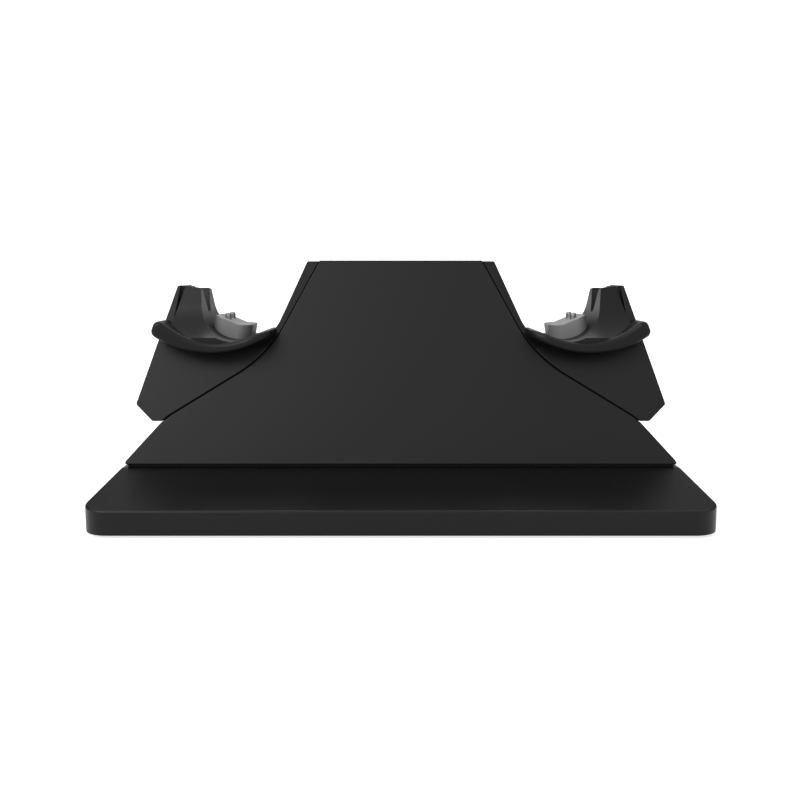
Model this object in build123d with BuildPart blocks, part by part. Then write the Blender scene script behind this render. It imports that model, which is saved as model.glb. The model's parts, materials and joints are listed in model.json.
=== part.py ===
from build123d import *
import os
from math import asin, cos, degrees, radians, tan

# Twin charging dock for game controllers. Millimetres, +Z up, front towards -Y.
# The origin lies on the surface that the dock stands on, under the middle of its base.
# Each inset along X is measured inwards from the end of the base.

os.makedirs("parts", exist_ok=True)

# Base: a moulded cover with a skirt, closed from below by a plate
# Its top slopes up from the front and rear edges to a level strip under the body
base_width = 205.0
base_depth = 152.0
edge_height = 8.0
apron_rise = 4.1
apron_margin = 1.0
slab_corner = 9.0
slab_draft = 0.5
slab_edge = 0.7
slab_wall = 2.4
slab_roof = 1.8
plate_thickness = 1.8
plate_fit = 0.2

# Rubber feet, set into the base plate
foot_drop = 1.0
foot_diameter = 14.0
foot_recess = 0.8
foot_round = 0.3
foot_inset = 20.0

# Body: both large faces lean back from upright and meet in a narrow ridge
body_height = 75.3
body_half_depth = 32.6
lean = 20.0
shell_wall = 2.0
plinth_inset = 1.4
blank_margin = 2.0
blank_ridge = 0.05

# Front and rear panels, inlaid in the body
panel_thickness = 2.0
panel_foot_gap = 0.9
panel_foot_inset = 0.5
panel_top_inset = 71.3
panel_waist_inset = 52.3
panel_waist_height = 39.5
panel_waist_radius = 48.0
panel_knee_inset = 14.6
panel_knee_height = 16.6
panel_knee_radius = 25.0
panel_corner = 0.6
panel_seam = 0.35
panel_edge = 0.4
core_fit = 0.05

# Wings: each carries a cradle and ends in a fin behind the horn
wing_bottom = 16.1
wing_foot_inset = 10.3
wing_tip_inset = 3.9
wing_tip_height = 22.1
wing_corner = 1.0
wing_edge = 0.4
fin_height = 65.8
fin_top_width = 1.3
fin_top_gap = 1.8
fin_gap = 0.4
fin_inner_round = 0.4
fin_outer_round = 0.8
wedge_bottom = 56.0

# Cradles: a saddle between the body and a horn
saddle_top_inset = 66.5
saddle_top_height = 75.0
saddle_inner_inset = 53.5
saddle_inner_radius = 13.0
saddle_outer_inset = 28.1
saddle_outer_radius = 14.0
saddle_floor = 45.3
saddle_floor_thickness = 3.0
saddle_edge = 0.5
horn_height = 65.7
horn_drop = 1.0
horn_fall = 1.5
horn_inner_inset = 25.9
horn_width = 5.8
horn_edge = 0.9
horn_slant = 0.291
notch_top_half = 6.3
notch_tip_half = 1.9
notch_tip_round = 1.8
notch_depth = 4.0
notch_bottom = 55.4

# Lips: crescents that carry the saddle's edge out in front and behind
lip_top_inset = 35.0
lip_top_centre = 75.5
lip_top_radius = 30.5
lip_bottom_inset = 33.0
lip_bottom_centre = 78.0
lip_bottom_radius = 37.5
lip_reach = 25.6
lip_round = 1.9
lip_tip_inset = 10.9
lip_tip_height = 50.2
lip_tip_tilt = 0.4
lip_tip_round = 2.4
lip_root_inset = 55.5
lip_root_top = 48.0
rear_lip_root_inset = 43.0
flare_inset = 42.5
flare_height = 59.0
flare_reach = 24.0
flare_toe_height = 46.8
flare_bow = 1.7

# Contact blocks with their spring pins
block_outer_inset = 27.8
block_inner_inset = 43.1
block_tilt = 0.19
block_depth = 19.0
block_corner = 5.0
block_high = 54.4
block_high_inset = 32.0
block_slope_inset = 40.0
block_slope_height = 51.0
block_low = 50.6
block_edge = 0.5
block_bend = 2.0
block_fit = 0.15
flange_outer_margin = 4.3
flange_inner_margin = 5.4
flange_depth_margin = 2.0
flange_thickness = 1.6
board_thickness = 1.2
pin_inset = 35.2
pin_pitch = 8.0
pin_tip_height = 55.3
pin_diameter = 2.4
pin_round = 1.0
pin_collar = 3.2
pin_collar_height = 1.8
pin_side_play = 0.03
pin_end_play = 0.05
barrel_diameter = 4.2
barrel_height = 10.0
barrel_lip = 0.6
barrel_floor = 0.8
spring_diameter = 2.5
spring_wire = 0.4
spring_turns = 5

# Screws: all of them go in from below
screw_head = 4.4
screw_head_height = 1.2
screw_head_round = 0.4
screw_shank = 2.2
screw_play = 0.1
base_post = 6.0
base_post_inset_x = 10.0
base_post_inset_y = 38.0
base_screw_length = 5.0
body_screw_inset = 14.0
body_screw_span = 28.0
body_boss = 6.4
body_screw_length = 7.0
cradle_screw_margin = 3.4
cradle_screw_span = 12.0
cradle_screw_length = 8.0
contact_screw_inset = 1.9
contact_screw_length = 5.0

# Inside the base
ballast_margin = 24.5
ballast_depth = 56.0
ballast_thickness = 3.0
ballast_inset = 8.4
main_board_width = 52.0
main_board_depth = 34.0
board_post = 4.0
board_post_inset = 4.0
inlet_width = 8.94
inlet_height = 3.2
inlet_length = 7.4
inlet_wall = 0.35
inlet_recess = 0.6
inlet_play = 0.15
inlet_window_play = 0.35
tongue_width = 6.6
tongue_height = 0.7
tongue_length = 5.0
chip_height = 0.9
chip_row = 12.0
chip_sizes = ((-12.0, 6.0), (0.0, 4.0), (10.0, 5.0))
lead_diameter = 2.0
lead_hole = 4.4
lead_half = 10.0
lead_row = 13.0
lead_rise = 24.0
lead_end_inset = 38.5
lead_end_row = 2.0
lead_end_rise = 28.0
lead_bends = (4.0, 8.0, 5.0)

# Heights and places that follow from the sizes above
slab_height = edge_height + apron_rise
slab_top = foot_drop + slab_height
edge_inside_top = foot_drop + edge_height - slab_roof
slab_inside_top = slab_top - slab_roof
plate_top = foot_drop + plate_thickness
apron_crest = body_half_depth + apron_margin
panel_foot_half = base_width / 2 - panel_foot_inset
body_screw_half = base_width / 2 - body_screw_inset
panel_top_half = base_width / 2 - panel_top_inset
panel_waist_half = base_width / 2 - panel_waist_inset
panel_knee_half = base_width / 2 - panel_knee_inset
wing_foot_half = base_width / 2 - wing_foot_inset
wing_tip_half = base_width / 2 - wing_tip_inset
saddle_top_half = base_width / 2 - saddle_top_inset
saddle_inner_half = base_width / 2 - saddle_inner_inset
saddle_outer_half = base_width / 2 - saddle_outer_inset
horn_inner_half = base_width / 2 - horn_inner_inset
lip_top_half = base_width / 2 - lip_top_inset
lip_bottom_half = base_width / 2 - lip_bottom_inset
lip_tip_half = base_width / 2 - lip_tip_inset
lip_root_half = base_width / 2 - lip_root_inset
rear_lip_root_half = base_width / 2 - rear_lip_root_inset
block_outer_half = base_width / 2 - block_outer_inset
block_inner_half = base_width / 2 - block_inner_inset
block_high_half = base_width / 2 - block_high_inset
block_slope_half = base_width / 2 - block_slope_inset
pin_half = base_width / 2 - pin_inset
lead_end_half = base_width / 2 - lead_end_inset
flare_start = base_width / 2 - flare_inset
flange_outer_half = block_outer_half + flange_outer_margin
flange_inner_half = block_inner_half - flange_inner_margin
cradle_screw_half = flange_outer_half + cradle_screw_margin
flange_depth = block_depth + 2 * flange_depth_margin
ballast_width = base_width - 2 * ballast_margin
ballast_centre = (ballast_depth - base_depth) / 2 + ballast_inset
tent_run = tan(radians(lean))
face_skin = panel_thickness / cos(radians(lean))
cavity_skin = (panel_thickness + shell_wall) / cos(radians(lean))
saddle_seat = saddle_floor - saddle_floor_thickness
horn_half_depth = body_half_depth - tent_run * (horn_height - horn_fall)
horn_outer_half = horn_inner_half + horn_width
fin_half = horn_outer_half + fin_top_gap + fin_top_width
flange_bottom = saddle_seat - flange_thickness
contact_board_bottom = flange_bottom - board_thickness
barrel_top = flange_bottom + barrel_height
collar_top = barrel_top - barrel_lip - pin_end_play
spring_bottom = flange_bottom + barrel_floor + spring_wire / 2
spring_height = collar_top - pin_collar_height - spring_wire / 2 - spring_bottom
inlet_axis = (plate_top + edge_inside_top) / 2
inlet_mouth = base_depth / 2 - inlet_recess
inlet_back = inlet_mouth - inlet_length
main_board_rear = inlet_mouth - inlet_recess - slab_wall
main_board_front = main_board_rear - main_board_depth
main_board_bottom = inlet_axis - board_thickness / 2
post_span_x = base_width - 2 * base_post_inset_x
post_span_y = base_depth - 2 * base_post_inset_y
foot_span_x = base_width - 2 * foot_inset
foot_span_y = base_depth - 2 * foot_inset
middle = (Align.CENTER, Align.CENTER, Align.CENTER)
upward = (Align.CENTER, Align.CENTER, Align.MIN)
downward = (Align.CENTER, Align.CENTER, Align.MAX)
facing = 0.8
sides = (("left", -1), ("right", 1))
rows = (("front", -pin_pitch / 2), ("rear", pin_pitch / 2))


def above(height):
    """Turn a height above the level part of the base into a height above the ground."""
    return slab_top + height


def horn_side(height):
    """Half width of the dock at the horn's outer side."""
    return horn_outer_half + horn_slant * (horn_height - height)


def wing_side(height):
    """Half width of the dock at the wing's outer side."""
    return fin_half + (wing_tip_half - fin_half) * (fin_height - height) / (fin_height - wing_tip_height)


def on_rim(edge):
    """Tell whether an edge of a wing lies away from the cradle that stands on the wing."""
    height = edge.center().Z - slab_top
    below_seat = height < saddle_seat - wing_edge
    return below_seat or abs(edge.center().X) > wing_side(height) - fin_outer_round


def apron(drop):
    """Prism under the sloping top of the base, lowered by the drop."""
    edge = foot_drop + edge_height - drop
    crest = slab_top - drop
    with BuildPart() as prism:
        with BuildSketch(Plane.YZ.offset(-base_width / 2)):
            with BuildLine():
                Polyline(
                    (-base_depth / 2, foot_drop),
                    (-base_depth / 2, edge),
                    (-apron_crest, crest),
                    (apron_crest, crest),
                    (base_depth / 2, edge),
                    (base_depth / 2, foot_drop),
                    close=True,
                )
            make_face()
        extrude(amount=base_width)
    return prism.part


def tent(inset):
    """Prism between the two leaning faces, both moved in by the inset."""
    below = -blank_margin
    over = body_height + blank_margin
    wide = body_half_depth - inset - tent_run * below
    narrow = max(body_half_depth - inset - tent_run * over, blank_ridge)
    with BuildPart() as prism:
        with BuildSketch(Plane.YZ.offset(-base_width / 2)):
            with BuildLine():
                Polyline(
                    (-wide, above(below)),
                    (wide, above(below)),
                    (narrow, above(over)),
                    (-narrow, above(over)),
                    close=True,
                )
            make_face()
        extrude(amount=base_width)
    return prism.part


def panel_outline():
    """Face of a panel as it is seen from the front."""
    with BuildLine() as edge:
        FilletPolyline(
            (0, above(panel_foot_gap)),
            (panel_foot_half, above(panel_foot_gap)),
            (panel_knee_half, above(panel_knee_height)),
            (panel_waist_half, above(panel_waist_height)),
            (panel_top_half, above(body_height)),
            (0, above(body_height)),
            radius=(panel_corner, panel_knee_radius, panel_waist_radius, panel_corner),
        )
        mirror(about=Plane.YZ)
    make_face(edge.edges())


def wing_outline():
    """Face of the right wing with its fin, reaching into the panel's outline."""
    with BuildLine() as edge:
        FilletPolyline(
            (saddle_inner_half - saddle_inner_radius, above(saddle_seat)),
            (horn_side(saddle_seat) + core_fit, above(saddle_seat)),
            (horn_side(wedge_bottom) + fin_gap, above(wedge_bottom)),
            (fin_half - fin_top_width, above(fin_height)),
            (fin_half, above(fin_height)),
            (wing_tip_half, above(wing_tip_height)),
            (wing_foot_half, above(wing_bottom)),
            (wing_foot_half - saddle_outer_radius, above(wing_bottom)),
            radius=(0, 0, 0, fin_inner_round, fin_outer_round, wing_corner, wing_corner, 0),
            close=True,
        )
    make_face(edge.edges())


def wing_hollow_outline():
    """Face of the hollow in the right wing, reaching into the hollow of the body."""
    roof = saddle_seat - shell_wall
    with BuildLine() as edge:
        Polyline(
            (saddle_inner_half - saddle_inner_radius, above(roof)),
            (wing_side(roof) - shell_wall, above(roof)),
            (wing_tip_half - shell_wall, above(wing_tip_height)),
            (wing_foot_half - shell_wall, above(wing_bottom + shell_wall)),
            (wing_foot_half - saddle_outer_radius, above(wing_bottom + shell_wall)),
            close=True,
        )
    make_face(edge.edges())


def cradle_outline():
    """Section of the right cradle, reaching into the panel's outline."""
    with BuildLine() as edge:
        FilletPolyline(
            (panel_top_half - panel_seam, above(saddle_top_height)),
            (saddle_top_half, above(saddle_top_height)),
            (saddle_inner_half, above(saddle_floor)),
            (saddle_outer_half, above(saddle_floor)),
            (horn_inner_half, above(horn_height - horn_drop)),
            (horn_outer_half, above(horn_height)),
            (horn_side(saddle_seat), above(saddle_seat)),
            (saddle_inner_half - saddle_inner_radius, above(saddle_seat)),
            radius=(0, saddle_edge, saddle_inner_radius, saddle_outer_radius, horn_edge, horn_edge, 0, 0),
            close=True,
        )
    make_face(edge.edges())


def block_prism(fit):
    """Leaning column of the right contact block, grown by the fit on all sides."""
    with BuildPart() as column:
        with BuildSketch(Plane.XY.offset(above(flange_bottom))):
            with Locations(((block_outer_half + block_inner_half) / 2, 0)):
                RectangleRounded(
                    block_outer_half - block_inner_half + 2 * fit,
                    block_depth + 2 * fit,
                    block_corner + fit,
                )
        extrude(amount=2 * barrel_height, dir=(-block_tilt, 0, 1))
    return column.part


def screws(places, seat, length):
    """Pan-head screws with their heads under the seat and their shanks above it."""
    with BuildPart() as group:
        with Locations(*[(x, y, seat) for x, y in places]):
            Cylinder(screw_head / 2, screw_head_height, align=downward)
            Cylinder(screw_shank / 2, length, align=upward)
        rims = group.edges().filter_by(GeomType.CIRCLE).group_by(Axis.Z)[0]
        fillet(rims, radius=screw_head_round)
    return group.part


def write(piece, name):
    """Label a finished piece and write its file."""
    piece.label = name
    export_step(piece, f"parts/{name}.step")


base_posts = [
    (x, y)
    for x in (-post_span_x / 2, post_span_x / 2)
    for y in (-post_span_y / 2, post_span_y / 2)
]
body_places = [
    (x, y)
    for x in (-body_screw_half, body_screw_half)
    for y in (-body_screw_span / 2, body_screw_span / 2)
]
cradle_places = [
    (x, y)
    for x in (-cradle_screw_half, cradle_screw_half)
    for y in (-cradle_screw_span / 2, cradle_screw_span / 2)
]
contact_halves = (flange_inner_half + contact_screw_inset, flange_outer_half - contact_screw_inset)
contact_places = [(side * half, 0) for side in (-1, 1) for half in contact_halves]

# Base cover
with BuildPart() as base_cover:
    with BuildSketch(Plane.XY.offset(foot_drop)):
        RectangleRounded(base_width, base_depth, slab_corner)
    extrude(amount=slab_height, taper=slab_draft)
    add(apron(0), mode=Mode.INTERSECT)
    tops = base_cover.faces().filter_by(lambda face: face.normal_at().Z > facing)
    crests = tops.sort_by(Axis.Y)[1].edges().filter_by(Axis.X)
    fillet([edge for edge in tops.edges() if edge not in crests], radius=slab_edge)
    with BuildSketch(Plane.XY.offset(foot_drop)) as hollow:
        RectangleRounded(base_width - 2 * slab_wall, base_depth - 2 * slab_wall, slab_corner - slab_wall)
    room = extrude(hollow.sketch, slab_height, mode=Mode.PRIVATE)
    add(apron(slab_roof).intersect(room), mode=Mode.SUBTRACT)
    with BuildSketch(Plane.XY.offset(plate_top)) as post_rounds:
        with Locations(*base_posts):
            Circle(base_post / 2)
    posts = extrude(post_rounds.sketch, slab_height, mode=Mode.PRIVATE)
    add(apron(slab_roof / 2).intersect(posts))
    with Locations(*[(x, y, plate_top) for x, y in base_posts]):
        Cylinder((screw_shank + screw_play) / 2, base_screw_length, align=upward, mode=Mode.SUBTRACT)
    with Locations(*[(x, y, slab_inside_top) for x, y in body_places]):
        Cylinder((screw_shank + screw_play) / 2, slab_roof, align=upward, mode=Mode.SUBTRACT)
    with Locations((-lead_half, lead_row, slab_inside_top), (lead_half, lead_row, slab_inside_top)):
        Cylinder(lead_hole / 2, slab_roof, align=upward, mode=Mode.SUBTRACT)
    with BuildSketch(Plane.XZ.offset(-base_depth / 2 - blank_margin)):
        with Locations((0, inlet_axis)):
            SlotOverall(inlet_width + 2 * inlet_window_play, inlet_height + 2 * inlet_window_play)
    extrude(amount=slab_wall + 2 * blank_margin, mode=Mode.SUBTRACT)
write(base_cover.part, "base_cover")

# Base plate, with recesses for the feet and the screw heads and posts for the main board
with BuildPart() as base_plate:
    with BuildSketch(Plane.XY.offset(foot_drop)):
        RectangleRounded(
            base_width - 2 * (slab_wall + plate_fit),
            base_depth - 2 * (slab_wall + plate_fit),
            slab_corner - slab_wall - plate_fit,
        )
    extrude(amount=plate_thickness)
    with Locations((0, 0, foot_drop)):
        with GridLocations(foot_span_x, foot_span_y, 2, 2):
            Cylinder(foot_diameter / 2 + plate_fit, foot_recess, align=upward, mode=Mode.SUBTRACT)
    with Locations(*[(x, y, foot_drop) for x, y in base_posts]):
        Cylinder(screw_head / 2 + plate_fit, screw_head_height, align=upward, mode=Mode.SUBTRACT)
        Cylinder((screw_shank + screw_play) / 2, plate_thickness, align=upward, mode=Mode.SUBTRACT)
    with Locations((0, (main_board_front + main_board_rear) / 2, plate_top)):
        with GridLocations(
            main_board_width - 2 * board_post_inset, main_board_depth - 2 * board_post_inset, 2, 2
        ):
            Cylinder(board_post / 2, main_board_bottom - plate_top, align=upward)
write(base_plate.part, "base_plate")

# Rubber feet
with BuildPart() as rubber_feet:
    with GridLocations(foot_span_x, foot_span_y, 2, 2):
        Cylinder(foot_diameter / 2, foot_drop + foot_recess, align=upward)
    fillet(rubber_feet.edges().group_by(Axis.Z)[0], radius=foot_round)
write(rubber_feet.part, "rubber_feet")

# Steel ballast on the base plate
with BuildPart() as ballast_plate:
    with BuildSketch(Plane.XY.offset(plate_top)):
        with Locations((0, ballast_centre)):
            RectangleRounded(ballast_width, ballast_depth, slab_corner)
    extrude(amount=ballast_thickness)
write(ballast_plate.part, "ballast_plate")

# Blanks shared by the body, the panels and the cradles
full_tent = tent(0)
panel_tent = tent(face_skin)
cavity_tent = tent(cavity_skin)

with BuildPart() as panel_envelope:
    with BuildSketch(Plane.XZ):
        panel_outline()
        offset(amount=panel_seam, kind=Kind.INTERSECTION)
    extrude(amount=base_depth / 2, both=True)

with BuildPart() as body_cavity:
    with BuildSketch(Plane.XZ):
        panel_outline()
        offset(amount=-shell_wall, kind=Kind.INTERSECTION)
        wing_hollow_outline()
        mirror(about=Plane.YZ)
        with Locations((0, above(-shell_wall))):
            Rectangle(
                2 * (panel_foot_half - plinth_inset - 2 * shell_wall),
                panel_foot_gap + 3 * shell_wall,
                align=(Align.CENTER, Align.MIN),
            )
    extrude(amount=base_depth / 2, both=True)
    add(cavity_tent, mode=Mode.INTERSECT)
    with Locations(*[(x, y, slab_top - shell_wall) for x, y in body_places]):
        Cylinder(body_boss / 2, panel_knee_height, align=upward, mode=Mode.SUBTRACT)

# Body with both wings
with BuildPart() as body_shell:
    with BuildSketch(Plane.XZ):
        panel_outline()
        offset(amount=panel_seam - core_fit, kind=Kind.INTERSECTION)
        with Locations((0, slab_top)):
            Rectangle(2 * base_width, body_height, align=(Align.CENTER, Align.MIN), mode=Mode.INTERSECT)
        wing_outline()
        mirror(about=Plane.YZ)
        with Locations((0, slab_top)):
            Rectangle(
                2 * (panel_foot_half - plinth_inset),
                panel_foot_gap + shell_wall,
                align=(Align.CENTER, Align.MIN),
            )
    extrude(amount=base_depth / 2, both=True)
    add(full_tent, mode=Mode.INTERSECT)
    add(panel_envelope.part.cut(panel_tent), mode=Mode.SUBTRACT)
    with BuildSketch(Plane.XY.offset(slab_top)):
        Rectangle(2 * base_width, 2 * base_depth)
        Rectangle(2 * base_width, 2 * (body_half_depth - face_skin), mode=Mode.SUBTRACT)
    extrude(amount=panel_foot_gap, mode=Mode.SUBTRACT)
    add(body_cavity.part, mode=Mode.SUBTRACT)
    with Locations(
        *[(side * (flange_outer_half + flange_inner_half) / 2, 0, above(saddle_seat)) for _, side in sides]
    ):
        Box(
            flange_outer_half - flange_inner_half + 2 * block_fit,
            flange_depth + 2 * block_fit,
            2 * shell_wall,
            align=middle,
            mode=Mode.SUBTRACT,
        )
    with Locations(*[(x, y, above(saddle_seat)) for x, y in cradle_places]):
        Cylinder((screw_shank + screw_play) / 2, 2 * shell_wall, align=middle, mode=Mode.SUBTRACT)
    with Locations(*[(x, y, slab_top) for x, y in body_places]):
        Cylinder(
            (screw_shank + screw_play) / 2,
            body_screw_length - slab_roof + screw_play,
            align=upward,
            mode=Mode.SUBTRACT,
        )
    wings = body_shell.faces().filter_by(lambda face: abs(face.normal_at().Y) > facing)
    wings = wings.sort_by(lambda face: abs(face.center().X))[-4:]
    fillet([edge for wing in wings for edge in wing.outer_wire().edges() if on_rim(edge)], radius=wing_edge)
write(body_shell.part, "body_shell")

# Front and rear panels
with BuildPart() as panels:
    with BuildSketch(Plane.XZ):
        panel_outline()
    extrude(amount=base_depth / 2, both=True)
    add(full_tent, mode=Mode.INTERSECT)
    add(panel_tent, mode=Mode.SUBTRACT)
for name, face in zip(("front_panel", "rear_panel"), panels.solids().sort_by(Axis.Y)):
    with BuildPart() as panel:
        add(face)
        fillet(panel.faces().sort_by(SortBy.AREA)[-1].edges(), radius=panel_edge)
    write(panel.part, name)


def lip(root_half):
    """Front lip of the right cradle, from its rounded tip to its rounded root."""
    proud = lip_reach - body_half_depth + tent_run * saddle_floor
    low = lip_bottom_centre - lip_bottom_radius - lip_round
    tip_low = lip_tip_half + lip_tip_tilt * (lip_tip_height - low)
    tip_high = lip_tip_half + lip_tip_tilt * (lip_tip_height - lip_top_centre)
    with BuildPart() as bar:
        with BuildSketch(Plane.XZ) as crescent:
            with Locations((lip_bottom_half, above(lip_bottom_centre))):
                Circle(lip_bottom_radius)
            with Locations((lip_top_half, above(lip_top_centre))):
                Circle(lip_top_radius, mode=Mode.SUBTRACT)
            with BuildLine():
                Polyline(
                    (root_half, above(low)),
                    (tip_low, above(low)),
                    (tip_high, above(lip_top_centre)),
                    (lip_top_half, above(lip_top_centre)),
                    (lip_top_half, above(lip_root_top)),
                    (root_half, above(lip_root_top)),
                    close=True,
                )
            make_face(mode=Mode.INTERSECT)
            fillet(crescent.vertices().sort_by(Axis.X)[-2:], radius=lip_tip_round)
        extrude(amount=lip_reach)
        fillet(bar.faces().sort_by(Axis.Y)[0].edges(), radius=lip_round)
        add(full_tent, mode=Mode.SUBTRACT)
        with BuildSketch(Plane.XY.offset(slab_top)):
            with BuildLine():
                outside = -lip_reach - proud
                start = (root_half + proud, -lip_reach)
                end = (root_half, proud - lip_reach)
                Polyline(end, (root_half - proud, proud - lip_reach), (root_half - proud, outside))
                Polyline((root_half - proud, outside), (root_half + proud, outside), start)
                RadiusArc(start, end, -proud)
            make_face()
        extrude(amount=body_height, mode=Mode.SUBTRACT)
    return bar.part


front_lip = lip(lip_root_half)
rear_lip = lip(rear_lip_root_half)

# Flare that carries the horn's faces out onto the lips
with BuildPart() as horn_flare:
    with BuildSketch(Plane.XZ):
        cradle_outline()
        with Locations((lip_top_half, above(lip_top_centre))):
            Circle(lip_top_radius + lip_round, mode=Mode.INTERSECT)
    extrude(amount=lip_reach, both=True)
    with BuildSketch(Plane.YZ.offset(flare_start)):
        with BuildLine():
            crown = body_half_depth - tent_run * flare_height
            bow_height = (flare_height + flare_toe_height) / 2
            bow = body_half_depth - tent_run * bow_height + flare_bow
            Line((0, above(flare_height)), (crown, above(flare_height)))
            ThreePointArc(
                (crown, above(flare_height)),
                (bow, above(bow_height)),
                (flare_reach, above(flare_toe_height)),
            )
            Line((flare_reach, above(flare_toe_height)), (flare_reach, slab_top))
            Line((flare_reach, slab_top), (0, slab_top))
            mirror(about=Plane.YZ)
        make_face()
    extrude(amount=base_width / 2 - flare_start, mode=Mode.INTERSECT)
    add(full_tent, mode=Mode.SUBTRACT)

# Right cradle, then its mirror image
with BuildPart() as right_cradle:
    with BuildSketch(Plane.XZ):
        cradle_outline()
    extrude(amount=base_depth / 2, both=True)
    add(full_tent, mode=Mode.INTERSECT)
    add(panel_envelope.part, mode=Mode.SUBTRACT)
    add(front_lip)
    add(mirror(rear_lip, about=Plane.XZ, mode=Mode.PRIVATE))
    add(horn_flare.part)
    with BuildSketch(Plane.YZ.offset(horn_inner_half + horn_edge)):
        with BuildLine():
            FilletPolyline(
                (-notch_top_half, above(horn_height)),
                (-notch_tip_half, above(notch_bottom)),
                (notch_tip_half, above(notch_bottom)),
                (notch_top_half, above(horn_height)),
                radius=(0, notch_tip_round, notch_tip_round, 0),
                close=True,
            )
        make_face()
    extrude(amount=notch_depth, both=True, mode=Mode.SUBTRACT)
    with BuildSketch(Plane.YZ.offset(flare_start)):
        with BuildLine():
            Polyline(
                (0, above(horn_height)),
                (horn_half_depth, above(horn_height - horn_fall)),
                (horn_half_depth, above(horn_height)),
                close=True,
            )
        make_face()
    extrude(amount=base_width / 2 - flare_start, mode=Mode.SUBTRACT)
    add(block_prism(block_fit), mode=Mode.SUBTRACT)
    with Locations(*[(x, y, above(saddle_seat)) for x, y in cradle_places if x > 0]):
        Cylinder(
            (screw_shank + screw_play) / 2,
            cradle_screw_length - shell_wall + screw_play,
            align=upward,
            mode=Mode.SUBTRACT,
        )
    with Locations(*[(x, y, above(saddle_seat)) for x, y in contact_places if x > 0]):
        Cylinder(
            (screw_shank + screw_play) / 2,
            contact_screw_length - board_thickness - flange_thickness + screw_play,
            align=upward,
            mode=Mode.SUBTRACT,
        )
write(right_cradle.part, "right_cradle")

with BuildPart() as left_cradle:
    mirror(right_cradle.part, about=Plane.YZ)
write(left_cradle.part, "left_cradle")

# Right contact block, then its mirror image
with BuildPart() as right_contact_block:
    add(block_prism(0))
    with BuildSketch(Plane.XZ):
        with BuildLine():
            FilletPolyline(
                (flange_outer_half, above(flange_bottom)),
                (flange_outer_half, above(block_high)),
                (block_high_half, above(block_high)),
                (block_slope_half, above(block_slope_height)),
                (flange_inner_half, above(block_low)),
                (flange_inner_half, above(flange_bottom)),
                radius=(0, 0, block_bend, block_bend, 0, 0),
                close=True,
            )
        make_face()
    extrude(amount=block_depth, both=True, mode=Mode.INTERSECT)
    rims = right_contact_block.faces().filter_by(lambda face: face.normal_at().Z > facing).edges()
    fillet([edge for edge in rims if not edge.is_interior], radius=block_edge)
    with Locations(((flange_outer_half + flange_inner_half) / 2, 0, above(flange_bottom))):
        Box(flange_outer_half - flange_inner_half, flange_depth, flange_thickness, align=upward)
    with Locations(*[(pin_half, y, above(flange_bottom)) for _, y in rows]):
        Cylinder(barrel_diameter / 2 + pin_side_play, barrel_height, align=upward, mode=Mode.SUBTRACT)
        Cylinder(pin_diameter / 2 + pin_end_play, pin_tip_height, align=upward, mode=Mode.SUBTRACT)
    with Locations(*[(half, 0, above(flange_bottom)) for half in contact_halves]):
        Cylinder((screw_shank + screw_play) / 2, flange_thickness, align=upward, mode=Mode.SUBTRACT)
write(right_contact_block.part, "right_contact_block")

with BuildPart() as left_contact_block:
    mirror(right_contact_block.part, about=Plane.YZ)
write(left_contact_block.part, "left_contact_block")

# Spring pins: barrel, plunger and coil spring
for side_name, side in sides:
    for row_name, row in rows:
        with BuildPart() as barrel:
            with Locations((side * pin_half, row, above(flange_bottom))):
                Cylinder(barrel_diameter / 2, barrel_height, align=upward)
            with Locations((side * pin_half, row, above(flange_bottom + barrel_floor))):
                Cylinder(
                    pin_collar / 2 + pin_side_play,
                    barrel_height - barrel_floor - barrel_lip,
                    align=upward,
                    mode=Mode.SUBTRACT,
                )
                Cylinder(pin_diameter / 2 + pin_end_play, barrel_height, align=upward, mode=Mode.SUBTRACT)
        write(barrel.part, f"{side_name}_{row_name}_barrel")

        with BuildPart() as pin:
            with Locations((side * pin_half, row, above(collar_top))):
                Cylinder(pin_collar / 2, pin_collar_height, align=downward)
                Cylinder(pin_diameter / 2, pin_tip_height - collar_top, align=upward)
            fillet(pin.edges().group_by(Axis.Z)[-1], radius=pin_round)
        write(pin.part, f"{side_name}_{row_name}_pin")

        with BuildPart() as spring:
            with BuildLine() as coil:
                Helix(
                    pitch=spring_height / spring_turns,
                    height=spring_height,
                    radius=spring_diameter / 2,
                    center=(side * pin_half, row, above(spring_bottom)),
                )
            with BuildSketch(Plane(origin=coil.line @ 0, z_dir=coil.line % 0)):
                Circle(spring_wire / 2)
            sweep(path=coil.line, is_frenet=True)
        write(spring.part, f"{side_name}_{row_name}_spring")

# Contact boards under the blocks
for side_name, side in sides:
    with BuildPart() as contact_board:
        with Locations((side * (flange_outer_half + flange_inner_half) / 2, 0, above(contact_board_bottom))):
            Box(flange_outer_half - flange_inner_half, flange_depth, board_thickness, align=upward)
        with Locations(*[(side * half, 0, above(contact_board_bottom)) for half in contact_halves]):
            Cylinder((screw_shank + screw_play) / 2, board_thickness, align=upward, mode=Mode.SUBTRACT)
    write(contact_board.part, f"{side_name}_contact_board")

# Main board with a notch for the inlet and its larger components
with BuildPart() as main_board:
    with Locations((0, main_board_front, main_board_bottom)):
        Box(
            main_board_width,
            main_board_depth,
            board_thickness,
            align=(Align.CENTER, Align.MIN, Align.MIN),
        )
    with Locations((0, inlet_back, main_board_bottom)):
        Box(
            inlet_width + 2 * inlet_play,
            main_board_depth,
            board_thickness,
            align=(Align.CENTER, Align.MIN, Align.MIN),
            mode=Mode.SUBTRACT,
        )
    for place, size in chip_sizes:
        with Locations((place, main_board_front + chip_row, main_board_bottom + board_thickness)):
            Box(size, size, chip_height, align=upward)
write(main_board.part, "main_board")

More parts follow.
